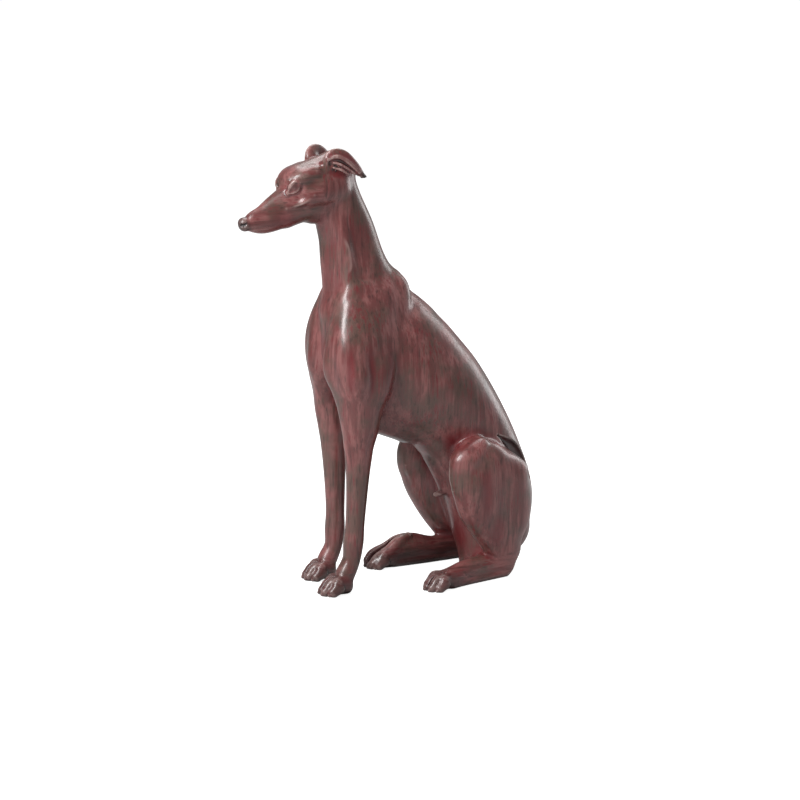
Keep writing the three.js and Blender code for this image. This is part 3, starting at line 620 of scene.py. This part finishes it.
# Lacquer: brown brushed over deep red, near black in the hollows as patina and painted shade, and pale on the
# ridges as rubbing and painted highlight.
# Lengths are metres. A rise is where a mask goes from none to full; cover is how much of what lies
# under a colour it hides where its mask is full.
lacquer = {
    "brown": (0.125, 0.034, 0.032),
    "brownLight": (0.225, 0.080, 0.075),
    "greenBrown": (0.072, 0.046, 0.033),
    "deepRed": (0.135, 0.012, 0.015),
    "nearBlack": (0.012, 0.007, 0.007),
    # pale colour of the ridges: rubbed lacquer together with painted highlight
    "rubbedAndHighlight": (0.42, 0.30, 0.275),
    "streakWidth": 0.0022,
    "streakLength": 0.030,
    "broadWidth": 3.2,  # times the width and the length of the fine streaks
    "broadLength": 2.4,
    "patch": 0.030,
    "redPatch": 0.7,  # times the size of the green-brown patches
    "greenShift": 0.31,
    "redShift": 0.83,
    "rise": {
        "patch": (0.42, 0.66), "lightStreak": (0.42, 0.62), "redStreak": (0.48, 0.64),
        "darkStreak": (0.48, 0.3), "redHollow": (0.01, 0.16), "wornAndHighlight": (0.16, 0.5),
        "wornAndHighlightStreak": (0.35, 0.6), "darkHollow": (0.06, 0.6), "rough": (0.3, 0.7), "coat": (0.35, 0.65),
    },
    "cover": {
        "greenPatch": 0.75, "redStreak": 0.85, "darkStreak": 0.5, "redHollow": 0.7, "redSpot": 0.8,
        "wornAndHighlight": 0.6, "darkHollow": 0.8, "darkSpot": 0.9,
    },
    "redOutside": 0.35,  # strength of the red streaks between the red patches
    # least strength of the rubbing and painted highlight, between the streaks
    "wornAndHighlightLeast": 0.4,  # rubbing between the streaks
    "roughness": (0.30, 0.46),
    "coat": (0.12, 0.42),
    "coatRoughness": 0.14,
    "specular": 0.55,
    "streakHeight": 0.00006,
    "waveHeight": 0.0004,
    "waveScale": 60.0,
}


def socket(group, name, kind, output=False, value=None):
    made = group.interface.new_socket(name, in_out="OUTPUT" if output else "INPUT", socket_type=kind)
    if value is not None:
        made.default_value = value


def addNoise(tree, vector, scale, detail, rough):
    noise = tree.nodes.new("ShaderNodeTexNoise")
    noise.inputs["Scale"].default_value = scale
    noise.inputs["Detail"].default_value = detail
    noise.inputs["Roughness"].default_value = rough
    tree.links.new(vector, noise.inputs["Vector"])
    return noise.outputs["Fac"]


def mapped(tree, value, rise, results=(0.0, 1.0)):
    # smoothly from the first result to the second while the value goes through the rise
    ramp = tree.nodes.new("ShaderNodeMapRange")
    ramp.interpolation_type = "SMOOTHSTEP"
    for name, number in zip(("From Min", "From Max", "To Min", "To Max"), (*rise, *results)):
        ramp.inputs[name].default_value = number
    tree.links.new(value, ramp.inputs["Value"])
    return ramp.outputs["Result"]


def blended(tree, factor, first, second, amount=1.0):
    # from the first colour to the second; each may be a plain colour or a socket
    mix = tree.nodes.new("ShaderNodeMix")
    mix.data_type = "RGBA"
    if amount != 1.0:
        factor = combined(tree, "MULTIPLY", factor, amount)
    tree.links.new(factor, mix.inputs["Factor"])
    for name, colour in (("A", first), ("B", second)):
        spot = [s for s in mix.inputs if s.name == name and s.type == "RGBA"][0]
        if isinstance(colour, tuple):
            spot.default_value = colour + (1,)
        else:
            tree.links.new(colour, spot)
    return [s for s in mix.outputs if s.type == "RGBA"][0]


def combined(tree, operation, first, second):
    node = tree.nodes.new("ShaderNodeMath")
    node.operation = operation
    for spot, value in zip(node.inputs, (first, second)):
        if isinstance(value, (int, float)):
            spot.default_value = value
        else:
            tree.links.new(value, spot)
    return node.outputs[0]


def storedMask(tree, name):
    node = tree.nodes.new("ShaderNodeAttribute")
    node.attribute_name = name
    return node.outputs["Fac"]


def makeBrushStreaks():
    # streaks of the brush: noise drawn out along one axis, up the body, or along it where Lengthwise is 1
    group = bpy.data.node_groups.new("brushStreaks", "ShaderNodeTree")
    socket(group, "Place", "NodeSocketVector")
    socket(group, "Lengthwise", "NodeSocketFloat", value=0.0)
    socket(group, "Width", "NodeSocketFloat", value=lacquer["streakWidth"])
    socket(group, "Length", "NodeSocketFloat", value=lacquer["streakLength"])
    socket(group, "Streak", "NodeSocketFloat", output=True)
    start, end = group.nodes.new("NodeGroupInput"), group.nodes.new("NodeGroupOutput")
    across = combined(group, "DIVIDE", 1.0, start.outputs["Width"])
    along = combined(group, "DIVIDE", 1.0, start.outputs["Length"])
    results = []
    for axis in (2, 1):
        scale = group.nodes.new("ShaderNodeCombineXYZ")
        for n in range(3):
            group.links.new(along if n == axis else across, scale.inputs[n])
        stretch = group.nodes.new("ShaderNodeVectorMath")
        stretch.operation = "MULTIPLY"
        group.links.new(start.outputs["Place"], stretch.inputs[0])
        group.links.new(scale.outputs[0], stretch.inputs[1])
        results.append(addNoise(group, stretch.outputs[0], 1.0, 4.0, 0.6))
    mix = group.nodes.new("ShaderNodeMix")
    group.links.new(start.outputs["Lengthwise"], mix.inputs[0])
    group.links.new(results[0], mix.inputs[2])
    group.links.new(results[1], mix.inputs[3])
    group.links.new(mix.outputs[0], end.inputs["Streak"])
    return group


def makePatches():
    # broad cloudy patches, with soft edges
    group = bpy.data.node_groups.new("cloudyPatches", "ShaderNodeTree")
    socket(group, "Place", "NodeSocketVector")
    socket(group, "Size", "NodeSocketFloat", value=lacquer["patch"])
    socket(group, "Patch", "NodeSocketFloat", output=True)
    start, end = group.nodes.new("NodeGroupInput"), group.nodes.new("NodeGroupOutput")
    scale = group.nodes.new("ShaderNodeVectorMath")
    scale.operation = "DIVIDE"
    group.links.new(start.outputs["Place"], scale.inputs[0])
    group.links.new(start.outputs["Size"], scale.inputs[1])
    cloud = addNoise(group, scale.outputs[0], 1.0, 3.0, 0.6)
    group.links.new(mapped(group, cloud, lacquer["rise"]["patch"]), end.inputs["Patch"])
    return group


def makeLacquer():
    material = bpy.data.materials.new("streakedLacquer")
    material.use_nodes = True
    tree = material.node_tree
    shader = tree.nodes["Principled BSDF"]
    place = tree.nodes.new("ShaderNodeTexCoord").outputs["Object"]
    lengthwise = storedMask(tree, "lengthwise")
    brush, cloud = makeBrushStreaks(), makePatches()

    def streaks(width, length):
        node = tree.nodes.new("ShaderNodeGroup")
        node.node_tree = brush
        node.inputs["Width"].default_value = width
        node.inputs["Length"].default_value = length
        tree.links.new(place, node.inputs["Place"])
        tree.links.new(lengthwise, node.inputs["Lengthwise"])
        return node.outputs["Streak"]

    def patches(size, shift):
        moved = tree.nodes.new("ShaderNodeVectorMath")
        moved.inputs[1].default_value = (shift, shift, shift)
        tree.links.new(place, moved.inputs[0])
        node = tree.nodes.new("ShaderNodeGroup")
        node.node_tree = cloud
        node.inputs["Size"].default_value = size
        tree.links.new(moved.outputs[0], node.inputs["Place"])
        return node.outputs["Patch"]

    def rising(mask, name, results=(0.0, 1.0)):
        return mapped(tree, mask, lacquer["rise"][name], results)

    def covered(under, mask, name, over):
        return blended(tree, mask, under, lacquer[over], lacquer["cover"][name])

    width, length = lacquer["streakWidth"], lacquer["streakLength"]
    fine = streaks(width, length)
    broad = streaks(lacquer["broadWidth"] * width, lacquer["broadLength"] * length)
    colour = blended(tree, rising(broad, "lightStreak"), lacquer["brown"], lacquer["brownLight"])
    colour = covered(colour, patches(lacquer["patch"], lacquer["greenShift"]), "greenPatch", "greenBrown")
    redPatch = patches(lacquer["redPatch"] * lacquer["patch"], lacquer["redShift"])
    redPatch = mapped(tree, redPatch, (0, 1), (lacquer["redOutside"], 1))
    redStreak = combined(tree, "MULTIPLY", rising(fine, "redStreak"), redPatch)
    colour = covered(colour, redStreak, "redStreak", "deepRed")
    colour = covered(colour, rising(fine, "darkStreak"), "darkStreak", "nearBlack")
    colour = covered(colour, rising(storedMask(tree, "hollowWide"), "redHollow"), "redHollow", "deepRed")
    colour = covered(colour, storedMask(tree, "redSpot"), "redSpot", "deepRed")
    # pale on the ridges, broken up by the fine streaks: rubbed lacquer together with painted highlight
    wornAndHighlight = combined(tree, "MULTIPLY", rising(storedMask(tree, "ridge"), "wornAndHighlight"),
                    rising(fine, "wornAndHighlightStreak", (lacquer["wornAndHighlightLeast"], 1)))
    colour = covered(colour, wornAndHighlight, "wornAndHighlight", "rubbedAndHighlight")
    # near black in the fine hollows: patina together with painted shade
    colour = covered(colour, rising(storedMask(tree, "hollowFine"), "darkHollow"), "darkHollow", "nearBlack")
    # near black where darkSpot is full: painted shade at the feet and under the chest, and the dark recess,
    # ear tips, nose and eyes
    colour = covered(colour, storedMask(tree, "darkSpot"), "darkSpot", "nearBlack")
    tree.links.new(colour, shader.inputs["Base Color"])
    tree.links.new(rising(broad, "rough", lacquer["roughness"]), shader.inputs["Roughness"])
    tree.links.new(rising(fine, "coat", lacquer["coat"]), shader.inputs["Coat Weight"])
    shader.inputs["Coat Roughness"].default_value = lacquer["coatRoughness"]
    shader.inputs["Specular IOR Level"].default_value = lacquer["specular"]
    wave = addNoise(tree, place, lacquer["waveScale"], 2.0, 0.5)
    waves = tree.nodes.new("ShaderNodeBump")
    waves.inputs["Distance"].default_value = lacquer["waveHeight"]
    tree.links.new(wave, waves.inputs["Height"])
    scratches = tree.nodes.new("ShaderNodeBump")
    scratches.inputs["Distance"].default_value = lacquer["streakHeight"]
    tree.links.new(fine, scratches.inputs["Height"])
    tree.links.new(waves.outputs["Normal"], scratches.inputs["Normal"])
    tree.links.new(scratches.outputs["Normal"], shader.inputs["Normal"])
    return material


body.data.materials.append(makeLacquer())


# Studio: white paper and white surroundings, which light the figurine less than they show,
# a tall softbox from the left, one behind on the right for the rims, and one above.
# Places are to the right of, above and in front of the aim, seen from the camera.
studio = {
    "ambient": 0.34,
    "backdrop": 1.02,
    "paper": 0.5,
    "paperGlow": 0.9,
    "paperRoughness": 0.9,
    "paperReach": 6.0,
    "softboxes": [
        ("keySoftbox", (-0.85, 0.75, 1.05), (0.5, 1.1), 29),
        ("rimSoftbox", (1.15, 0.55, -0.75), (0.5, 1.2), 7),
        ("topSoftbox", (0.1, 1.5, -0.35), (1.1, 1.1), 15),
    ],
}


def seenOnly(tree, seen, otherwise):
    # one value where the camera looks straight at the surface, another for the light that it sends on
    path = tree.nodes.new("ShaderNodeLightPath")
    mix = tree.nodes.new("ShaderNodeMix")
    tree.links.new(path.outputs["Is Camera Ray"], mix.inputs[0])
    mix.inputs[2].default_value = otherwise
    mix.inputs[3].default_value = seen
    return mix.outputs[0]


def makeStudio():
    scene = bpy.context.scene
    scene.view_settings.view_transform = "Standard"
    world = bpy.data.worlds.new("studio")
    world.use_nodes = True
    air = world.node_tree
    air.nodes["Background"].inputs["Color"].default_value = (1, 1, 1, 1)
    strength = seenOnly(air, studio["backdrop"], studio["ambient"])
    air.links.new(strength, air.nodes["Background"].inputs["Strength"])
    scene.world = world
    square = np.array([[-1, -1, 0], [1, -1, 0], [1, 1, 0], [-1, 1, 0]])
    floorMesh = meshFrom("floor", studio["paperReach"] * square, np.array([[0, 1, 2, 3]]))
    floor = bpy.data.objects.new("floor", floorMesh)
    scene.collection.objects.link(floor)
    paper = bpy.data.materials.new("palePaper")
    paper.use_nodes = True
    tree = paper.node_tree
    shader = tree.nodes["Principled BSDF"]
    shader.inputs["Base Color"].default_value = (studio["paper"],) * 3 + (1,)
    shader.inputs["Roughness"].default_value = studio["paperRoughness"]
    shader.inputs["Emission Color"].default_value = (1, 1, 1, 1)
    tree.links.new(seenOnly(tree, studio["paperGlow"], 0.0), shader.inputs["Emission Strength"])
    floorMesh.materials.append(paper)
    right, up, back = viewAxes(view["azimuth"], view["elevation"])
    aim = Vector(view["aim"])
    for name, place, size, power in studio["softboxes"]:
        data = bpy.data.lights.new(name, "AREA")
        data.shape = "RECTANGLE"
        data.size, data.size_y = size
        data.energy = power
        light = bpy.data.objects.new(name, data)
        scene.collection.objects.link(light)
        towards = place[0] * right + place[1] * up + place[2] * back
        level = Vector((0, 0, 1)).cross(towards).normalized()
        placeLooking(light, aim + towards, level, towards.normalized().cross(level), towards.normalized())


makeStudio()
